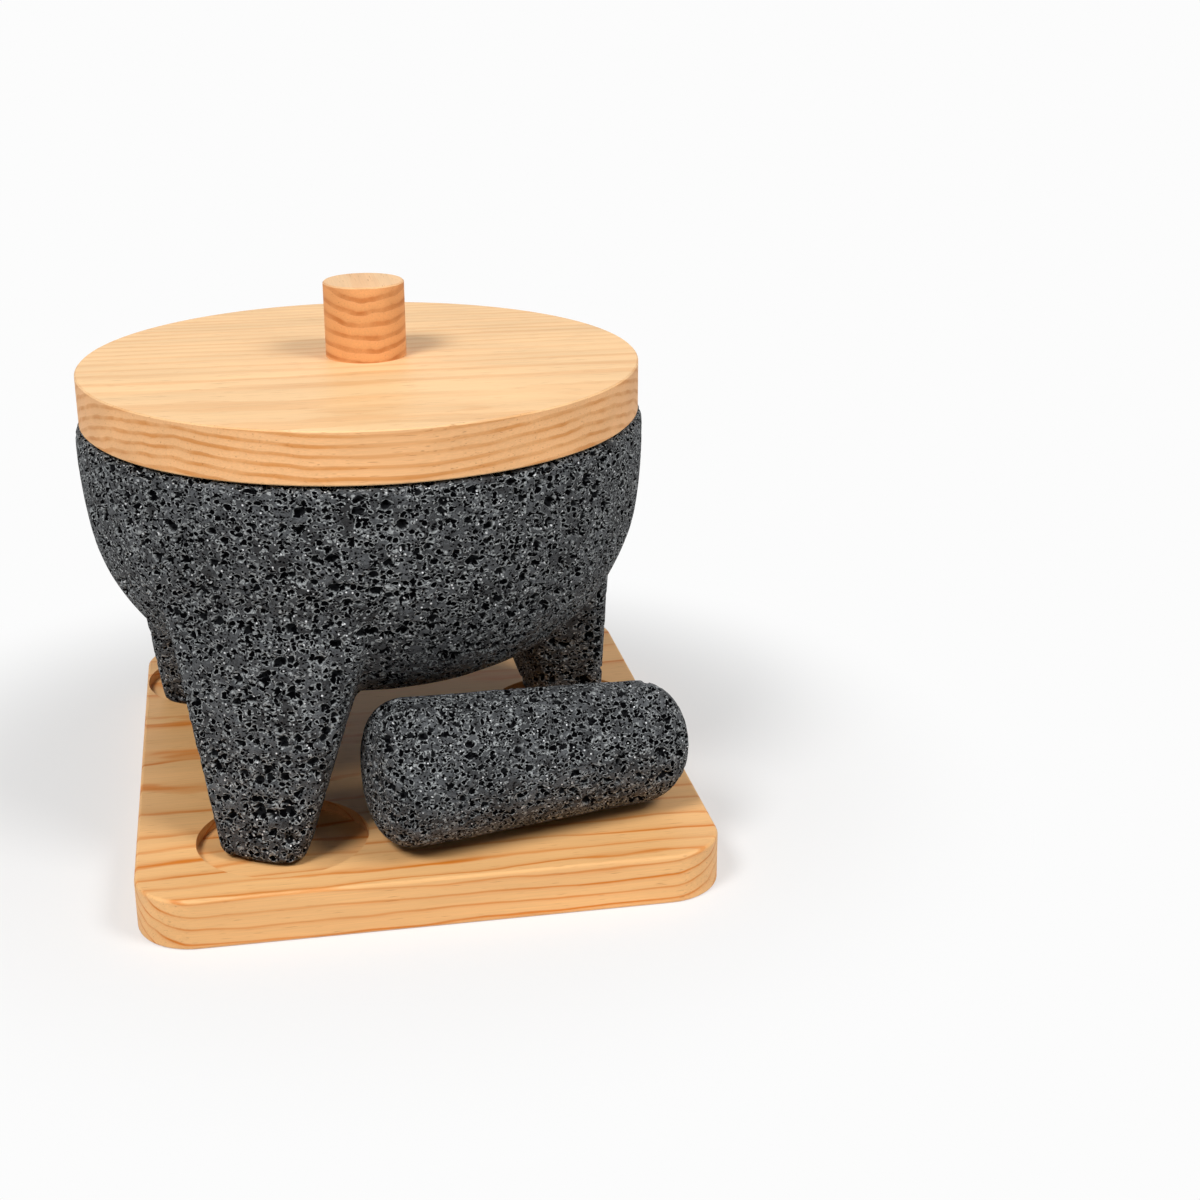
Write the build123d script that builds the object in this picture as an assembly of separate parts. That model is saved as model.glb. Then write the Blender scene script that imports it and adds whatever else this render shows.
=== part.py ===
"""A molcajete: a basalt mortar on three legs, its pestle, a pine lid with a dowel knob, and the
pine board that the set stands on.

Millimetres, +Z up, front towards -Y.  The origin is on the mortar's axis, on the surface that the
board stands on.  The mortar stands with its three feet in round recesses in the board.  The lid
lies on its rim, and the pestle lies on the board beside the front leg.
"""

import os
from math import atan2, cos, degrees, radians, sin, sqrt

from build123d import *

# --- Clearances ------------------------------------------------------------------------------
SEAT_GAP = 0.3  # between a loose piece and what it stands on
LID_STEP_CLEARANCE = 2.0  # round the lid's step, in the mouth of a hand-cut bowl

# --- Board -----------------------------------------------------------------------------------
BOARD_WIDTH = 198.0  # along X, the way the grain runs
BOARD_DEPTH = 229.0
BOARD_THICKNESS = 18.0
BOARD_CORNER = 20.0
BOARD_EDGE_ROUND = 1.2
BOARD_CENTRE = (10.3, -6.5)  # off the mortar's axis, as the set stands
RECESS_DIAMETER = 59.0
RECESS_DEPTH = 4.0
RECESS_CENTRES = {"front": (-39.2, -80.9), "right": (75.5, 12.5), "left": (-58.5, 67.5)}

# --- Mortar ----------------------------------------------------------------------------------
MORTAR_HEIGHT = 133.0  # from the feet to the rim
RIM_DIAMETER = 204.0
BOWL_OUTER_DEPTH = 97.0  # from the rim to the lowest point of the belly
RIM_WIDTH = 18.0
BOWL_FLOOR = 21.5  # stone between the bottom of the hollow and the belly
BELLY_HAUNCH = (68.0, 16.0, 82.0)  # radius, and the slopes in degrees where it starts and ends
HOLLOW_HAUNCH = (64.0, 14.0, 60.0)
LIP_HEIGHT = 6.0  # upright wall below the rim
RIM_ROUND = 3.5

# Each leg: azimuth in degrees, and how far its outer face stands from the axis at the foot and at
# the root.  The stone is cut by hand, so the three are not exactly alike.
LEGS = {"front": (242.0, 105.5, 97.0), "right": (14.0, 91.5, 91.5), "left": (138.0, 100.5, 97.0)}
FOOT_WIDTH = 35.0
FOOT_DEPTH = 25.0
LEG_SPREAD = 0.54  # width that a leg gains for each millimetre of height
LEG_TOP_BELOW_RIM = 37.0  # the legs run up into the wall of the bowl to here
LEG_ROOT = 38.0  # distance of the top of a leg's inner face from the axis
LEG_WEDGE = 0.68  # width of a leg's inner face as a share of its outer one
LEG_CORNER = 7.0
SOLE_EDGE = 2.0  # worn edge round each sole

# --- Lid and knob ----------------------------------------------------------------------------
LID_DIAMETER = 200.0
LID_THICKNESS = 18.0
LID_STEP_DEPTH = 6.0
LID_EDGE_BREAK = 0.5  # a crisp edge with the corner just taken off
KNOB_DIAMETER = 29.0
KNOB_HEIGHT = 27.0  # above the lid
KNOB_SOCKET_DEPTH = 10.0
KNOB_CENTRE = (2.5, 5.0)  # bored by eye, a little off the lid's centre
KNOB_EDGE_BREAK = 0.5

# --- Pestle ----------------------------------------------------------------------------------
PESTLE_LENGTH = 115.5
PESTLE_HEAD_DIAMETER = 53.0  # the grinding end
PESTLE_TAIL_DIAMETER = 43.0
PESTLE_HEAD_ROUND = 13.0
PESTLE_TAIL_ROUND = 17.0
PESTLE_CROWN = 3.0  # how far the middle of each end stands proud of its rounding
PESTLE_MIDDLE = (45.6, -84.0)  # where it lies on the board
PESTLE_HEADING = 12.5  # degrees from +X, from the head to the tail

# --- Heights that follow ---------------------------------------------------------------------
FOOT_Z = BOARD_THICKNESS - RECESS_DEPTH + SEAT_GAP
RIM_Z = FOOT_Z + MORTAR_HEIGHT
RIM_RADIUS = RIM_DIAMETER / 2
MOUTH_RADIUS = RIM_RADIUS - RIM_WIDTH
HOLLOW_DEPTH = BOWL_OUTER_DEPTH - BOWL_FLOOR
LEG_TOP_Z = RIM_Z - LEG_TOP_BELOW_RIM
LEG_TOP_WIDTH = FOOT_WIDTH + LEG_SPREAD * (LEG_TOP_Z - FOOT_Z)
LID_Z = RIM_Z + SEAT_GAP
LID_TOP_Z = LID_Z + LID_THICKNESS


def bowl_solid(radius, depth, haunch):
    """A bowl drawn with three tangent arcs, from the middle of the bottom up to the lip.

    The haunch is given.  The radii of the bottom and of the side follow, because the three arcs
    together have to reach the bowl's radius and its depth.
    """
    haunch_radius, low, high = haunch[0], radians(haunch[1]), radians(haunch[2])
    across = radius - haunch_radius * (sin(high) - sin(low))
    down = depth - LIP_HEIGHT - haunch_radius * (cos(low) - cos(high))
    share = sin(low) * cos(high) - (1 - cos(low)) * (1 - sin(high))
    bottom_radius = (across * cos(high) - down * (1 - sin(high))) / share
    side_radius = (down * sin(low) - across * (1 - cos(low))) / share

    middle = (0, RIM_Z - depth)
    rim = (radius, RIM_Z)
    lip = (radius, RIM_Z - LIP_HEIGHT)
    haunch_start = (bottom_radius * sin(low), middle[1] + bottom_radius * (1 - cos(low)))
    haunch_end = (radius - side_radius * (1 - sin(high)), lip[1] - side_radius * cos(high))
    outline = [
        TangentArc(middle, haunch_start, tangent=(1, 0)),
        TangentArc(haunch_start, haunch_end, tangent=(cos(low), sin(low))),
        TangentArc(haunch_end, lip, tangent=(cos(high), sin(high))),
        Polyline(lip, rim, (0, RIM_Z), middle),
    ]
    return revolve(Plane.XZ * make_face(outline), axis=Axis.Z)


def leg_section(inner, width, reach):
    """A level section of a leg that points along +X, with its outer side round the axis."""
    half = width / 2
    inner_half = half * LEG_WEDGE
    shoulder = sqrt(reach**2 - half**2)
    outer = ThreePointArc((shoulder, -half), (reach, 0), (shoulder, half))
    sides = Polyline(
        (shoulder, half), (inner, inner_half), (inner, -inner_half), (shoulder, -half)
    )
    face = make_face([outer, sides])
    return fillet(face.vertices(), LEG_CORNER)


def leg(azimuth, foot_reach, root_reach):
    """A tapered leg, from its worn sole up into the wall of the bowl."""
    heel = foot_reach - FOOT_DEPTH
    sole = leg_section(heel + SOLE_EDGE, FOOT_WIDTH - 2 * SOLE_EDGE, foot_reach - SOLE_EDGE)
    foot = leg_section(heel, FOOT_WIDTH, foot_reach)
    root = leg_section(LEG_ROOT, LEG_TOP_WIDTH, root_reach)
    heights = [FOOT_Z, FOOT_Z + SOLE_EDGE, LEG_TOP_Z]
    sections = [Pos(0, 0, z) * section for z, section in zip(heights, [sole, foot, root])]
    return Rot(0, 0, azimuth) * loft(sections, ruled=True)


def mortar():
    """Bowl and legs are one carved stone; the hollow is cut last, through the legs' roots."""
    stone = bowl_solid(RIM_RADIUS, BOWL_OUTER_DEPTH, BELLY_HAUNCH)
    for azimuth, foot_reach, root_reach in LEGS.values():
        stone += leg(azimuth, foot_reach, root_reach)
    stone -= bowl_solid(MOUTH_RADIUS, HOLLOW_DEPTH, HOLLOW_HAUNCH)
    rim_edges = stone.edges().group_by(Axis.Z)[-1]
    return fillet(rim_edges, RIM_ROUND)


def base_board():
    """One plank with round corners, eased edges and a recess under each foot."""
    outline = RectangleRounded(BOARD_WIDTH, BOARD_DEPTH, BOARD_CORNER)
    plank = extrude(outline, BOARD_THICKNESS)
    edges = plank.edges().group_by(Axis.Z)
    plank = Pos(*BOARD_CENTRE, 0) * fillet(edges[0] + edges[-1], BOARD_EDGE_ROUND)
    for centre in RECESS_CENTRES.values():
        floor = Pos(*centre, BOARD_THICKNESS - RECESS_DEPTH)
        plank -= floor * extrude(Circle(RECESS_DIAMETER / 2), RECESS_DEPTH)
    return plank


def lid_disc():
    """The lid, with the step that keeps it in the mouth and the blind socket for the knob."""
    disc = Pos(0, 0, LID_Z) * extrude(Circle(LID_DIAMETER / 2), LID_THICKNESS)
    edges = disc.edges().filter_by(GeomType.CIRCLE)
    disc = chamfer(edges, LID_EDGE_BREAK)
    step = Circle(MOUTH_RADIUS - RIM_ROUND - LID_STEP_CLEARANCE)
    disc += Pos(0, 0, LID_Z) * extrude(step, -LID_STEP_DEPTH)
    socket = extrude(Circle(KNOB_DIAMETER / 2), -KNOB_SOCKET_DEPTH)
    return disc - Pos(*KNOB_CENTRE, LID_TOP_Z) * socket


def lid_knob():
    """A length of dowel, glued into the socket."""
    dowel = extrude(Circle(KNOB_DIAMETER / 2), KNOB_HEIGHT + KNOB_SOCKET_DEPTH)
    dowel = chamfer(dowel.edges().group_by(Axis.Z)[-1], KNOB_EDGE_BREAK)
    return Pos(*KNOB_CENTRE, LID_TOP_Z - KNOB_SOCKET_DEPTH) * dowel


def pestle():
    """A tapered roller of stone with crowned, well-rounded ends, lying along its lowest line."""
    head = PESTLE_HEAD_DIAMETER / 2
    tail = PESTLE_TAIL_DIAMETER / 2
    head_edge = (PESTLE_CROWN, head)
    tail_edge = (PESTLE_LENGTH - PESTLE_CROWN, tail)
    head_end = TangentArc((0, 0), head_edge, tangent=(0, 1))
    tail_end = TangentArc((PESTLE_LENGTH, 0), tail_edge, tangent=(0, 1))
    face = make_face([head_end, Line(head_edge, tail_edge), tail_end, Line((PESTLE_LENGTH, 0), (0, 0))])
    face = fillet(face.vertices().sort_by_distance(head_edge)[0], PESTLE_HEAD_ROUND)
    face = fillet(face.vertices().sort_by_distance(tail_edge)[0], PESTLE_TAIL_ROUND)
    roller = revolve(face, axis=Axis.X)

    # Turned so that its lowest line is level, then set down on the board.
    droop = degrees(atan2(head - tail, tail_edge[0] - head_edge[0]))
    level = Rot(0, droop, 0) * Pos(-PESTLE_LENGTH / 2, 0, (head + tail) / 2) * roller
    on_board = Pos(*PESTLE_MIDDLE, BOARD_THICKNESS + SEAT_GAP)
    return on_board * Rot(0, 0, PESTLE_HEADING) * level


NODES = {
    "base_board": base_board,
    "mortar": mortar,
    "lid_disc": lid_disc,
    "lid_knob": lid_knob,
    "pestle": pestle,
}

os.makedirs("parts", exist_ok=True)
for name, make in NODES.items():
    export_step(make(), f"parts/{name}.step")
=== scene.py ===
"""The looks of a molcajete: open-pored basalt, carved by hand, and sanded and oiled pine.

Metres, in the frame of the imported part.  Sizes of patterns are named in millimetres.
"""

from math import radians

import bmesh
import bpy
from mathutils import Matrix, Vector


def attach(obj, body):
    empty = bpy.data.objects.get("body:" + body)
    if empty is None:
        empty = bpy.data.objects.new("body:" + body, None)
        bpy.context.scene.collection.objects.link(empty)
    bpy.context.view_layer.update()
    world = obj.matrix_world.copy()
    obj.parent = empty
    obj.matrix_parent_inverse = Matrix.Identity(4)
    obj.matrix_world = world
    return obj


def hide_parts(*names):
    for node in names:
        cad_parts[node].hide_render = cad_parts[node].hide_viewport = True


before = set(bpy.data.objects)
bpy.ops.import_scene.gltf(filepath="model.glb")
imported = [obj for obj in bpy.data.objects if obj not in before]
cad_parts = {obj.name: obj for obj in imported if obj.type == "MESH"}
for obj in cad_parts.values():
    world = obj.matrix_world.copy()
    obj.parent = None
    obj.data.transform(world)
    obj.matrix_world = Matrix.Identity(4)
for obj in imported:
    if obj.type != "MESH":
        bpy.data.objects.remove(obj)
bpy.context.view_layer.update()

MM = 0.001

# --- Camera -----------------------------------------------------------------------------------
CAMERA_PLACE = (-0.0447, -0.6768, 0.3226)
CAMERA_YAW = 11.083  # degrees to the right of +Y
CAMERA_PITCH = 20.393  # degrees down
CAMERA_LENS = 57.09  # mm, on a 36 mm sensor

# --- Stone: lengths in mm ---------------------------------------------------------------------
STONE_VOXEL = 1.45  # grain of the carved mesh, which keeps the mortar under 200,000 triangles
BUBBLE_KINDS = {  # gas bubbles: cell, share of cells that hold one, smallest, largest radius
    "large": (4.6, 0.52, 0.9, 2.6),
    "medium": (2.4, 0.92, 0.5, 1.4),
    "small": (1.2, 0.95, 0.28, 0.66),
}
BUBBLE_BOTTOM = 0.72  # share of a bubble's radius at which it is at its full depth
BUBBLE_FLATNESS = 1.25  # bubbles are a little wider than high
BUBBLE_RIM = 0.36  # width of the rim round each bubble, slightly raised and painted pale as a highlight
BUBBLE_CREST = 0.4  # share of the rim that is at its palest, next to the bubble, where the painted highlight is strongest
WARP_GRAIN = 3.0  # size of the waves that make the bubbles ragged
WARP_REACH = 2.6  # how far they move a point
LARGE_PIT_DEPTH = 1.8
MEDIUM_PIT_DEPTH = 1.0
UNEVEN_GRAIN = 26.0  # size of the tool's long hollows
UNEVEN_DEPTH = 1.0
CLOUD_GRAIN = 9.0  # size of the lighter and darker patches
GRIT_GRAIN = 0.9  # size of the streaks between the bubbles
GLINT_CELL = 1.25  # one painted glint at most in each cell of this size
GLINT_SHARE = 0.07  # share of those cells that hold one
WORN_EDGE_STEPS = 3  # smoothing of the whole stone
CREASE_STEPS = 12  # further smoothing where legs meet belly
BUMP_REACH = 1.0  # height of the relief that is too fine for the mesh

MATRIX_DARK, MATRIX_LIGHT = "#17181A", "#5E6164"
# painted highlight on the rims of the bubbles
PAINTED_RIM_HIGHLIGHT = "#AEB2B3"
# painted shade: the large hollows are carved in the mesh and painted darker still
PAINTED_HOLLOW_SHADE = "#1B1C1E"
# painted shade: the small bubbles, too fine for the mesh, are painted near black
PAINTED_PORE_SHADE = "#08080A"
# painted glints: bright spots painted on the stone as highlights
PAINTED_GLINT = "#F2F4F6"

# --- Paper and lamps --------------------------------------------------------------------------
PAPER, WHITE = "#EEEDEC", "#FCFCFC"
FLOOR_FADE = (0.13, 0.25)  # m from the middle: where the floor starts and ends turning white
FLOOR_FADE_LEAST = 0.45  # share of plain white that the floor has beside the object
SURROUND = 0.1  # how strongly the white room lights the object
LAMPS = {  # name: place in m, width in m, power in W
    "overhead": ((0.0, -0.3, 1.6), 1.0, 1.5),
    "front left": ((-0.9, -0.9, 1.6), 0.7, 26.0),
    "front right": ((0.95, -0.85, 1.45), 0.7, 16.5),
}
LAMP_TARGET = (0.0, 0.0, 0.08)


def linear(colour):
    """The linear RGBA of an sRGB hex colour, such as '#808080'."""
    parts = [int(colour[i : i + 2], 16) / 255 for i in (1, 3, 5)]
    return [c / 12.92 if c <= 0.04045 else ((c + 0.055) / 1.055) ** 2.4 for c in parts] + [1.0]


def add(tree, kind, inputs=(), **settings):
    """Adds a node.  Each input is a socket with the value it holds or the output it takes."""
    made = tree.nodes.new(kind)
    for name, value in settings.items():
        setattr(made, name, value)
    for socket, value in inputs:
        if isinstance(value, bpy.types.NodeSocket):
            tree.links.new(value, made.inputs[socket])
        else:
            made.inputs[socket].default_value = value
    return made


def largest(tree, values):
    """The largest of some values, as one output."""
    found = values[0]
    for value in values[1:]:
        found = add(tree, "ShaderNodeMath", [(0, found), (1, value)], operation="MAXIMUM").outputs[0]
    return found


def painted_over(tree, factor, under, over):
    """One colour over another, by a factor from 0 to 1."""
    made = add(tree, "ShaderNodeMix", [("Factor", factor), (6, under), (7, over)],
               data_type="RGBA")
    return made.outputs[2]


def new_material(name, roughness, specular=0.5):
    """An empty material with its shader: returns the material, its tree and the shader."""
    material = bpy.data.materials.new(name)
    material.use_nodes = True
    tree = material.node_tree
    tree.nodes.clear()
    shader = add(tree, "ShaderNodeBsdfPrincipled", [
        ("Roughness", roughness), ("Specular IOR Level", specular)])
    add(tree, "ShaderNodeOutputMaterial", [("Surface", shader.outputs["BSDF"])])
    return material, tree, shader


# --- Basalt -----------------------------------------------------------------------------------
def ragged_place(tree, place):
    """A point of the stone in mm, moved about so that round bubbles become ragged ones."""
    flat = add(tree, "ShaderNodeVectorMath", [(0, place), (1, (1, 1, BUBBLE_FLATNESS))],
               operation="MULTIPLY")
    waves = add(tree, "ShaderNodeTexNoise", [
        ("Vector", flat.outputs[0]), ("Scale", 1 / WARP_GRAIN), ("Detail", 2.0)])
    swing = add(tree, "ShaderNodeVectorMath", [(0, waves.outputs["Color"]), (1, (0.5, 0.5, 0.5))],
                operation="SUBTRACT")
    reach = add(tree, "ShaderNodeVectorMath", [(0, swing.outputs[0]), ("Scale", WARP_REACH)],
                operation="SCALE")
    moved = add(tree, "ShaderNodeVectorMath", [(0, flat.outputs[0]), (1, reach.outputs[0])],
                operation="ADD")
    return moved.outputs[0]


def bubbles(tree, place, kind):
    """Bubbles of this kind, cut open.  Returns how deep a point is in a bubble, from 0 on the face
    of the stone to 1, and how near it is to a bubble's rim, also from 0 to 1."""
    cell, share, least, most = BUBBLE_KINDS[kind]
    cells = add(tree, "ShaderNodeTexVoronoi", [("Vector", place), ("Scale", 1 / cell)])
    draw = add(tree, "ShaderNodeVectorMath", [(0, cells.outputs["Color"]), (1, (1, 0, 0))],
               operation="DOT_PRODUCT")
    held = add(tree, "ShaderNodeMath", [(0, draw.outputs["Value"]), (1, 1 - share)],
               operation="GREATER_THAN")
    spread = add(tree, "ShaderNodeMapRange", [
        ("Value", draw.outputs["Value"]), ("From Min", 1 - share), ("From Max", 1.0),
        ("To Min", least / cell), ("To Max", most / cell)])
    size = add(tree, "ShaderNodeMath", [(0, spread.outputs[0]), (1, held.outputs[0])],
               operation="MULTIPLY")
    inner = add(tree, "ShaderNodeMath", [(0, size.outputs[0]), (1, BUBBLE_BOTTOM), (2, -0.001)],
                operation="MULTIPLY_ADD")
    inside = add(tree, "ShaderNodeMapRange", [
        ("Value", cells.outputs["Distance"]), ("From Min", size.outputs[0]),
        ("From Max", inner.outputs[0])], interpolation_type="SMOOTHSTEP")
    outer = add(tree, "ShaderNodeMath", [(0, size.outputs[0]), (1, BUBBLE_RIM / cell)],
                operation="ADD")
    crest = add(tree, "ShaderNodeMath", [(0, size.outputs[0]), (1, BUBBLE_CREST * BUBBLE_RIM / cell)],
                operation="ADD")
    near = add(tree, "ShaderNodeMapRange", [
        ("Value", cells.outputs["Distance"]), ("From Min", outer.outputs[0]),
        ("From Max", crest.outputs[0]), ("To Max", held.outputs[0])],
        interpolation_type="SMOOTHSTEP")
    return inside.outputs[0], near.outputs[0]


def carving_tree(material):
    """Geometry Nodes that press bubbles and tool marks into the stone and remember its face."""
    tree = bpy.data.node_groups.new("carved basalt", "GeometryNodeTree")
    tree.interface.new_socket("Geometry", in_out="INPUT", socket_type="NodeSocketGeometry")
    for name in ("Fineness", "Large pit depth", "Medium pit depth", "Uneven depth"):
        tree.interface.new_socket(name, in_out="INPUT", socket_type="NodeSocketFloat")
    tree.interface.new_socket("Geometry", in_out="OUTPUT", socket_type="NodeSocketGeometry")
    given = add(tree, "NodeGroupInput")
    where = add(tree, "GeometryNodeInputPosition")
    finer = add(tree, "ShaderNodeMath", [(0, given.outputs["Fineness"]), (1, 1 / MM)],
                operation="MULTIPLY")
    place = add(tree, "ShaderNodeVectorMath", [(0, where.outputs[0]), ("Scale", finer.outputs[0])],
                operation="SCALE")
    kept = add(tree, "GeometryNodeStoreNamedAttribute", [
        ("Geometry", given.outputs["Geometry"]), ("Name", "stone_place"),
        ("Value", place.outputs[0])], data_type="FLOAT_VECTOR", domain="POINT")
    ragged = ragged_place(tree, place.outputs[0])
    large = add(tree, "ShaderNodeMath", [
        (0, bubbles(tree, ragged, "large")[0]), (1, given.outputs["Large pit depth"])],
        operation="MULTIPLY")
    medium = add(tree, "ShaderNodeMath", [
        (0, bubbles(tree, ragged, "medium")[0]), (1, given.outputs["Medium pit depth"])],
        operation="MULTIPLY")
    hollows = add(tree, "ShaderNodeTexNoise", [
        ("Vector", place.outputs[0]), ("Scale", 1 / UNEVEN_GRAIN), ("Detail", 3.0)])
    uneven = add(tree, "ShaderNodeMath", [
        (0, hollows.outputs[0]), (1, given.outputs["Uneven depth"])], operation="MULTIPLY")
    pits = add(tree, "ShaderNodeMath", [(0, large.outputs[0]), (1, medium.outputs[0])],
               operation="MAXIMUM")
    depth = add(tree, "ShaderNodeMath", [(0, pits.outputs[0]), (1, uneven.outputs[0])],
                operation="ADD")
    normal = add(tree, "GeometryNodeInputNormal")
    inwards = add(tree, "ShaderNodeMath", [(0, depth.outputs[0]), (1, -MM)], operation="MULTIPLY")
    offset = add(tree, "ShaderNodeVectorMath", [
        (0, normal.outputs[0]), ("Scale", inwards.outputs[0])], operation="SCALE")
    moved = add(tree, "GeometryNodeSetPosition", [
        ("Geometry", kept.outputs["Geometry"]), ("Offset", offset.outputs[0])])
    real = add(tree, "GeometryNodeRealizeInstances", [("Geometry", moved.outputs[0])])
    painted = add(tree, "GeometryNodeSetMaterial", [
        ("Geometry", real.outputs[0]), ("Material", material)])
    add(tree, "NodeGroupOutput", [("Geometry", painted.outputs[0])])
    return tree


def basalt():
    """Vesicular basalt, pecked to shape and rubbed down: dull grey, with open bubbles painted black
    as the shade inside them, a painted highlight on their rims that is paler than the stone between
    them, and a few painted glints."""
    material, tree, shader = new_material("basalt pecked and rubbed", 0.6)
    face = add(tree, "ShaderNodeAttribute", attribute_name="stone_place")
    ragged = ragged_place(tree, face.outputs["Vector"])
    kinds = {kind: bubbles(tree, ragged, kind) for kind in BUBBLE_KINDS}
    large_pore = kinds["large"][0]
    small_pore = largest(tree, [kinds["medium"][0], kinds["small"][0]])
    rim = largest(tree, [kinds["large"][1], kinds["medium"][1]])

    # The stone between the bubbles: cloudy grey, streaked by the flow of the lava.
    clouds = add(tree, "ShaderNodeTexNoise", [
        ("Vector", face.outputs["Vector"]), ("Scale", 1 / CLOUD_GRAIN), ("Detail", 3.0)])
    grit = add(tree, "ShaderNodeTexNoise", [
        ("Vector", ragged), ("Scale", 1 / GRIT_GRAIN), ("Detail", 4.0), ("Roughness", 0.65),
        ("Distortion", 1.2)])
    mixed = add(tree, "ShaderNodeMath", [(0, grit.outputs[0]), (1, clouds.outputs[0])],
                operation="MULTIPLY")
    matrix = add(tree, "ShaderNodeValToRGB", [(0, mixed.outputs[0])])
    matrix.color_ramp.elements[0].position = 0.15
    matrix.color_ramp.elements[0].color = linear(MATRIX_DARK)
    matrix.color_ramp.elements[1].position = 0.38
    matrix.color_ramp.elements[1].color = linear(MATRIX_LIGHT)
    # Painted highlight: a pale colour painted round the rims of the larger bubbles, patchy with the
    # streaks.
    worn = add(tree, "ShaderNodeMapRange", [
        ("Value", grit.outputs[0]), ("From Min", 0.38), ("From Max", 0.56), ("To Min", 0.1)])
    rim_share = add(tree, "ShaderNodeMath", [(0, rim), (1, worn.outputs[0])],
                    operation="MULTIPLY")
    # The painted rim highlight goes over the stone between the bubbles.
    rimmed = painted_over(tree, rim_share.outputs[0], matrix.outputs[0], linear(PAINTED_RIM_HIGHLIGHT))
    # Painted shade inside the large hollows, over the real shade of their carved depth.
    hollowed = painted_over(tree, large_pore, rimmed, linear(PAINTED_HOLLOW_SHADE))
    # Painted shade: the medium and small bubbles, which only the bump shapes, are painted near black
    # as the shade inside them.
    dark = add(tree, "ShaderNodeMapRange", [
        ("Value", small_pore), ("From Min", 0.15), ("From Max", 0.8)])
    pored = painted_over(tree, dark.outputs[0], hollowed, linear(PAINTED_PORE_SHADE))

    # Painted glints: a few cells are painted bright white, each over a spot near its middle, standing
    # in for sparkle off the stone.
    cells = add(tree, "ShaderNodeTexVoronoi", [
        ("Vector", face.outputs["Vector"]), ("Scale", 1 / GLINT_CELL)])
    draw = add(tree, "ShaderNodeVectorMath", [(0, cells.outputs["Color"]), (1, (0, 1, 0))],
               operation="DOT_PRODUCT")
    chosen = add(tree, "ShaderNodeMath", [(0, draw.outputs["Value"]), (1, 1 - GLINT_SHARE)],
                 operation="GREATER_THAN")
    spot = add(tree, "ShaderNodeMapRange", [
        ("Value", cells.outputs["Distance"]), ("From Min", 0.34), ("From Max", 0.22)])
    glint = add(tree, "ShaderNodeMath", [(0, chosen.outputs[0]), (1, spot.outputs[0])],
                operation="MULTIPLY")
    # The painted glints go over all the other colours.
    colour = painted_over(tree, glint.outputs[0], pored, linear(PAINTED_GLINT))
    tree.links.new(colour, shader.inputs["Base Color"])
    open_pore = largest(tree, [small_pore, large_pore])
    shine = add(tree, "ShaderNodeMapRange", [
        ("Value", open_pore), ("To Min", 0.35), ("To Max", 0.0)])
    tree.links.new(shine.outputs[0], shader.inputs["Specular IOR Level"])

    # Relief: bubbles too small for the mesh, their rims, and the streaks.
    sunk = add(tree, "ShaderNodeMath", [(0, open_pore), (1, -0.9)], operation="MULTIPLY")
    raised = add(tree, "ShaderNodeMath", [(0, rim), (1, 0.15), (2, sunk.outputs[0])],
                 operation="MULTIPLY_ADD")
    height = add(tree, "ShaderNodeMath", [(0, grit.outputs[0]), (1, 0.5), (2, raised.outputs[0])],
                 operation="MULTIPLY_ADD")
    relief = add(tree, "ShaderNodeBump", [
        ("Strength", 1.0), ("Distance", BUMP_REACH * MM), ("Height", height.outputs[0])])
    tree.links.new(relief.outputs[0], shader.inputs["Normal"])
    return material


def apply_all(piece):
    """Turns what the modifiers make into the piece's own plain mesh."""
    view = bpy.context.evaluated_depsgraph_get()
    made = bpy.data.meshes.new_from_object(piece.evaluated_get(view), depsgraph=view)
    piece.modifiers.clear()
    old = piece.data
    piece.data = made
    bpy.data.meshes.remove(old)


def carved_stone(node, name, material, tree, fineness, crease_heights=None):
    """A CAD stone with the marks of the real one: soft creases, tool marks and open bubbles."""
    mesh = bpy.data.meshes.new(name)
    work = bmesh.new()
    work.from_mesh(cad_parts[node].data)
    bmesh.ops.remove_doubles(work, verts=work.verts, dist=0.001 * MM)
    work.to_mesh(mesh)
    work.free()
    mesh.materials.clear()
    mesh.materials.append(material)
    piece = bpy.data.objects.new(name, mesh)
    bpy.context.scene.collection.objects.link(piece)
    remesh = piece.modifiers.new("grain", "REMESH")
    remesh.mode = "VOXEL"
    remesh.voxel_size = STONE_VOXEL * MM
    remesh.use_smooth_shade = True
    apply_all(piece)
    if crease_heights:
        soften_creases(piece, *crease_heights)
    soften = piece.modifiers.new("worn edges", "SMOOTH")
    soften.iterations = WORN_EDGE_STEPS
    carve = piece.modifiers.new("bubbles", "NODES")
    carve.node_group = tree
    values = {"Fineness": fineness, "Large pit depth": LARGE_PIT_DEPTH / fineness,
              "Medium pit depth": MEDIUM_PIT_DEPTH / fineness, "Uneven depth": UNEVEN_DEPTH}
    for socket in tree.interface.items_tree:
        if socket.in_out == "INPUT" and socket.name in values:
            carve[socket.identifier] = values[socket.name]
    apply_all(piece)
    return piece


def soften_creases(piece, low, full_low, full_high, high):
    """Rounds the creases between legs and belly, and leaves feet and rim as they are."""
    group = piece.vertex_groups.new(name="creases")
    for vertex in piece.data.vertices:
        z = vertex.co.z / MM
        weight = min((z - low) / (full_low - low), (high - z) / (high - full_high), 1.0)
        if weight > 0:
            group.add([vertex.index], weight, "REPLACE")
    blend = piece.modifiers.new("creases", "SMOOTH")
    blend.vertex_group = "creases"
    blend.iterations = CREASE_STEPS
    apply_all(piece)


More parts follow.
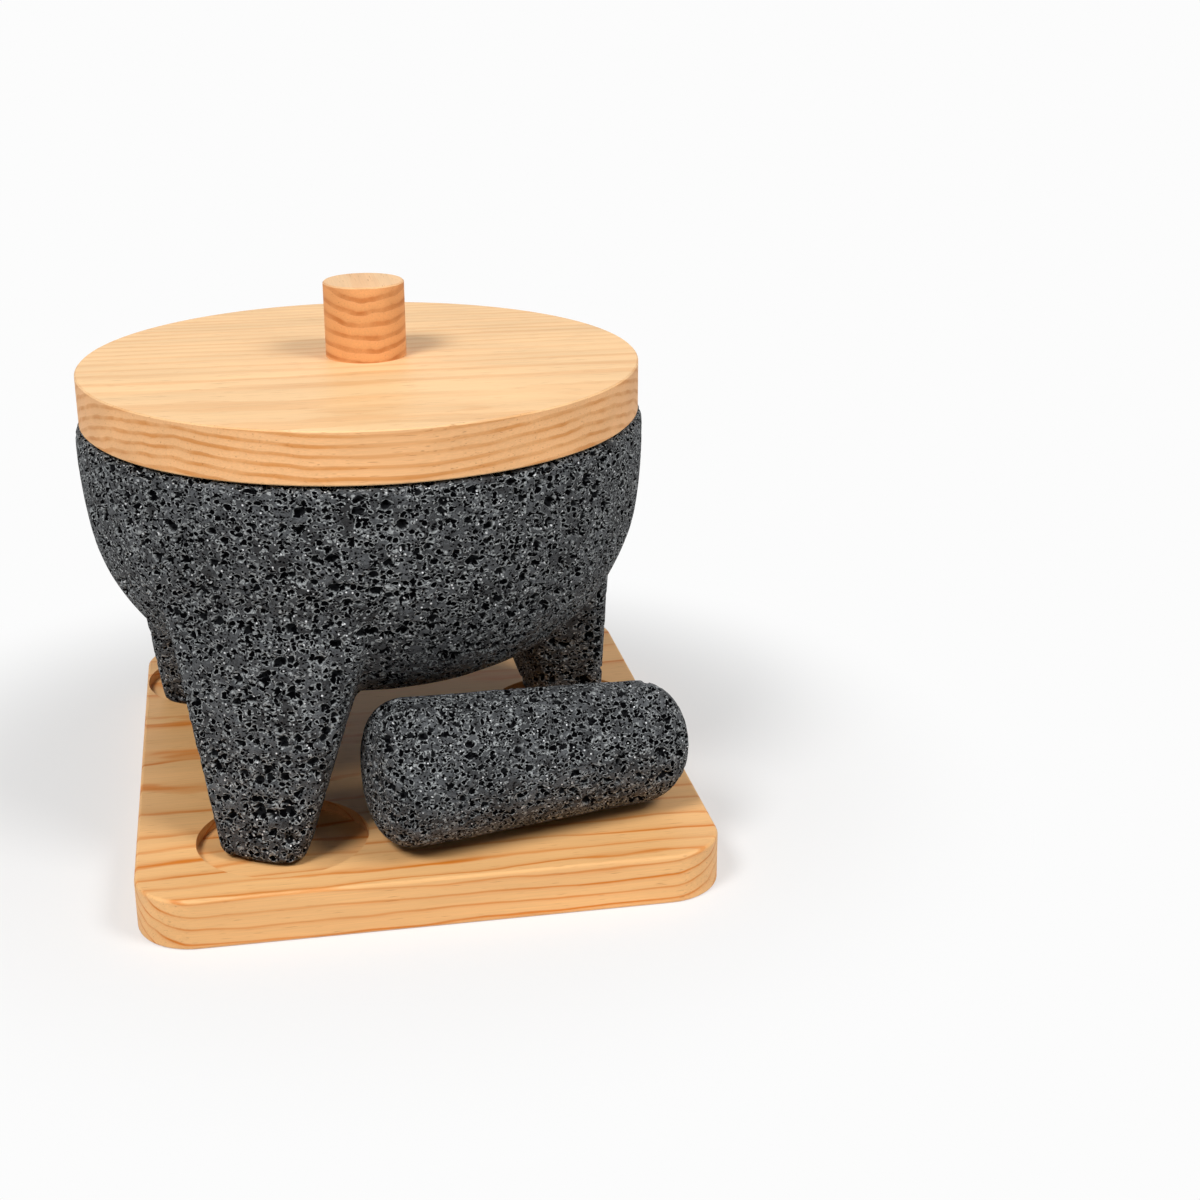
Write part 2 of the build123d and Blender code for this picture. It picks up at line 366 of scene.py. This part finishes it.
# --- Pine -------------------------------------------------------------------------------------
def pine(name, pith, grain, ring, late_start, figure, flat, edge):
    """Flat-sawn pine, sanded and oiled: pale early wood and orange late wood in growth rings about
    the pith (a point in mm), along the grain (0, 1 or 2 for X, Y or Z), with fine fibres, short
    dark resin canals and a dull sheen.  late_start is the part of the year at which late wood
    comes on, and figure is how far the rings wander, in rings.  flat and edge are the colours of
    early and late wood on level faces and on steep faces; the edge colours are darker, partly
    because edge grain soaks up more oil and partly as painted shade on the steep faces."""
    material, tree, shader = new_material(name, 0.5, 0.3)
    along = [0.0, 0.0, 0.0]
    along[grain] = 1.0
    across = [1.0 - a for a in along]
    local = add(tree, "ShaderNodeTexCoord")
    place = add(tree, "ShaderNodeVectorMath", [(0, local.outputs["Object"]), ("Scale", 1 / MM)],
                operation="SCALE")

    def stretched(length, width, detail, roughness=0.5):
        """Noise that is long along the grain and narrow across it, in mm."""
        scale = [a / length + c / width for a, c in zip(along, across)]
        shape = add(tree, "ShaderNodeVectorMath", [(0, place.outputs[0]), (1, scale)],
                    operation="MULTIPLY")
        noise = add(tree, "ShaderNodeTexNoise", [
            ("Vector", shape.outputs[0]), ("Scale", 1.0), ("Detail", detail),
            ("Roughness", roughness)])
        return noise.outputs[0]

    from_pith = add(tree, "ShaderNodeVectorMath", [(0, place.outputs[0]), (1, pith)],
                    operation="SUBTRACT")
    level = add(tree, "ShaderNodeVectorMath", [(0, from_pith.outputs[0]), (1, across)],
                operation="MULTIPLY")
    radius = add(tree, "ShaderNodeVectorMath", [(0, level.outputs[0])], operation="LENGTH")
    rings = add(tree, "ShaderNodeMath", [(0, radius.outputs["Value"]), (1, 1 / ring)],
                operation="MULTIPLY")
    wander = add(tree, "ShaderNodeMath", [(0, stretched(160.0, 42.0, 2.0)), (1, figure)],
                 operation="MULTIPLY")
    ripple = add(tree, "ShaderNodeMath", [(0, stretched(40.0, 9.0, 2.0)), (1, 0.7)],
                 operation="MULTIPLY")
    sum_a = add(tree, "ShaderNodeMath", [(0, rings.outputs[0]), (1, wander.outputs[0])],
                operation="ADD")
    sum_b = add(tree, "ShaderNodeMath", [(0, sum_a.outputs[0]), (1, ripple.outputs[0])],
                operation="ADD")
    year = add(tree, "ShaderNodeMath", [(0, sum_b.outputs[0])], operation="FRACT")

    # Late wood comes on slowly through the year and ends sharply.
    growth = add(tree, "ShaderNodeFloatCurve", [("Value", year.outputs[0])])
    curve = growth.mapping.curves[0]
    curve.points[0].location = (0.0, 0.0)
    curve.points[1].location = (1.0, 0.0)
    steps = ((late_start - 0.22, 0.06), (late_start, 0.4), (late_start + 0.1, 1.0), (0.94, 0.8))
    for place_in_year, darkness in steps:
        curve.points.new(place_in_year, darkness)
    growth.mapping.update()
    uneven = add(tree, "ShaderNodeMapRange", [
        ("Value", stretched(90.0, 7.0, 2.0)), ("From Min", 0.35), ("From Max", 0.65),
        ("To Min", 0.4), ("To Max", 1.0)])
    lateness = add(tree, "ShaderNodeMath", [(0, growth.outputs[0]), (1, uneven.outputs[0])],
                   operation="MULTIPLY")
    # Steep faces take the darker edge colours: partly oil soaked into edge grain, partly painted
    # shade.
    facing = add(tree, "ShaderNodeNewGeometry")
    steep = add(tree, "ShaderNodeVectorMath", [(0, facing.outputs["True Normal"]), (1, (0, 0, 1))],
                operation="DOT_PRODUCT")
    level_share = add(tree, "ShaderNodeMath", [(0, steep.outputs["Value"])], operation="ABSOLUTE")
    early = painted_over(tree, level_share.outputs[0], linear(edge[0]), linear(flat[0]))
    late = painted_over(tree, level_share.outputs[0], linear(edge[1]), linear(flat[1]))
    wood = painted_over(tree, lateness.outputs[0], early, late)

    fibres = add(tree, "ShaderNodeMapRange", [
        ("Value", stretched(30.0, 0.5, 3.0, 0.6)), ("From Min", 0.3), ("From Max", 0.7),
        ("To Min", 0.93), ("To Max", 1.05)])
    tone = add(tree, "ShaderNodeMapRange", [
        ("Value", stretched(70.0, 16.0, 2.0)), ("From Min", 0.3), ("From Max", 0.7),
        ("To Min", 0.92), ("To Max", 1.05)])
    shade = add(tree, "ShaderNodeMath", [(0, fibres.outputs[0]), (1, tone.outputs[0])],
                operation="MULTIPLY")
    canals = add(tree, "ShaderNodeMapRange", [
        ("Value", stretched(9.0, 0.5, 1.0)), ("From Min", 0.66), ("From Max", 0.76),
        ("To Max", 0.5)])
    flecked = painted_over(tree, canals.outputs[0], wood, linear("#A9662C"))
    colour = add(tree, "ShaderNodeVectorMath", [(0, flecked), ("Scale", shade.outputs[0])],
                 operation="SCALE")
    tree.links.new(colour.outputs[0], shader.inputs["Base Color"])
    relief = add(tree, "ShaderNodeBump", [
        ("Strength", 0.25), ("Distance", 0.15 * MM), ("Height", fibres.outputs[0])])
    tree.links.new(relief.outputs[0], shader.inputs["Normal"])
    return material


# --- Stage ------------------------------------------------------------------------------------
def camera():
    data = bpy.data.cameras.new("camera")
    data.lens = CAMERA_LENS
    data.sensor_width = 36.0
    made = bpy.data.objects.new("camera", data)
    made.location = CAMERA_PLACE
    made.rotation_euler = (radians(90 - CAMERA_PITCH), 0, radians(-CAMERA_YAW))
    bpy.context.scene.collection.objects.link(made)
    bpy.context.scene.camera = made


def floor():
    """White paper.  The camera sees it turn plain white away from the object, and every other ray
    meets lit paper, so it throws its light back on the stone."""
    mesh = bpy.data.meshes.new("floor")
    half = 4.0
    corners = [(-half, -half, 0), (half, -half, 0), (half, half, 0), (-half, half, 0)]
    mesh.from_pydata(corners, [], [(0, 1, 2, 3)])
    material = bpy.data.materials.new("white paper sweep")
    material.use_nodes = True
    tree = material.node_tree
    tree.nodes.clear()
    paper = add(tree, "ShaderNodeBsdfDiffuse", [("Color", linear(PAPER))])
    seen = add(tree, "ShaderNodeLightPath")
    white = add(tree, "ShaderNodeEmission", [("Color", linear(WHITE))])
    place = add(tree, "ShaderNodeTexCoord")
    reach = add(tree, "ShaderNodeVectorMath", [(0, place.outputs["Object"])], operation="LENGTH")
    fade = add(tree, "ShaderNodeMapRange", [
        ("Value", reach.outputs["Value"]), ("From Min", FLOOR_FADE[0]),
        ("From Max", FLOOR_FADE[1]), ("To Min", FLOOR_FADE_LEAST), ("To Max", 1.0)],
        interpolation_type="SMOOTHSTEP")
    share = add(tree, "ShaderNodeMath", [
        (0, fade.outputs[0]), (1, seen.outputs["Is Camera Ray"])], operation="MULTIPLY")
    lift = add(tree, "ShaderNodeMixShader", [
        (0, share.outputs[0]), (1, paper.outputs[0]), (2, white.outputs[0])])
    add(tree, "ShaderNodeOutputMaterial", [("Surface", lift.outputs[0])])
    mesh.materials.append(material)
    made = bpy.data.objects.new("floor", mesh)
    bpy.context.scene.collection.objects.link(made)


def area_light(name, place, target, size, power):
    data = bpy.data.lights.new(name, "AREA")
    data.shape = "DISK"
    data.size = size
    data.energy = power
    made = bpy.data.objects.new(name, data)
    made.location = place
    made.rotation_euler = (Vector(target) - Vector(place)).to_track_quat("-Z", "Y").to_euler()
    bpy.context.scene.collection.objects.link(made)


def light():
    """A white room: a dim even surround, a weak broad lamp overhead and two strong ones, high at
    the front left and, less strong, at the front right."""
    world = bpy.data.worlds.new("white room")
    bpy.context.scene.world = world
    world.use_nodes = True
    tree = world.node_tree
    tree.nodes.clear()
    seen = add(tree, "ShaderNodeLightPath")
    direct = add(tree, "ShaderNodeMath", [
        (0, seen.outputs["Is Camera Ray"]), (1, seen.outputs["Is Glossy Ray"])],
        operation="MAXIMUM")
    strength = add(tree, "ShaderNodeMapRange", [
        ("Value", direct.outputs[0]), ("To Min", SURROUND), ("To Max", 1.0)])
    sky = add(tree, "ShaderNodeBackground", [
        ("Color", linear(WHITE)), ("Strength", strength.outputs[0])])
    add(tree, "ShaderNodeOutputWorld", [("Surface", sky.outputs[0])])
    for name, (place, size, power) in LAMPS.items():
        area_light(name, place, LAMP_TARGET, size, power)


scene = bpy.context.scene
scene.view_settings.view_transform = "Standard"
camera()
floor()
light()

stone = basalt()
carving = carving_tree(stone)
STONES = {  # CAD node: piece, body, how fine its pores are, heights in mm where creases soften
    "mortar": ("carved_mortar", "mortar", 1.0, (34.0, 48.0, 96.0, 118.0)),
    "pestle": ("carved_pestle", "pestle", 1.15, None),
}
for node, (name, body, fineness, creases) in STONES.items():
    piece = carved_stone(node, name, stone, carving, fineness, creases)
    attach(piece, body)
    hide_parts(node)

BOARD_PINE = ("#F0BA7C", "#D87C22")
WOODS = {
    "base_board": pine("pine plank of the board", (0.0, 10.0, -200.0), 0, 4.4, 0.8, 1.8,
                       BOARD_PINE, BOARD_PINE),
    "lid_disc": pine("pine round of the lid", (0.0, -75.0, 5.0), 0, 3.6, 0.6, 1.3,
                     ("#F9CE98", "#EFBB82"), ("#F2BA82", "#D8924F")),
    "lid_knob": pine("pine dowel of the knob", (3.0, 0.0, 216.0), 1, 4.6, 0.6, 0.8,
                     ("#F2C694", "#EAB580"), ("#F0AE72", "#CB8046")),
}
for node, material in WOODS.items():
    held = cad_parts[node]
    held.data.materials.clear()
    held.data.materials.append(material)
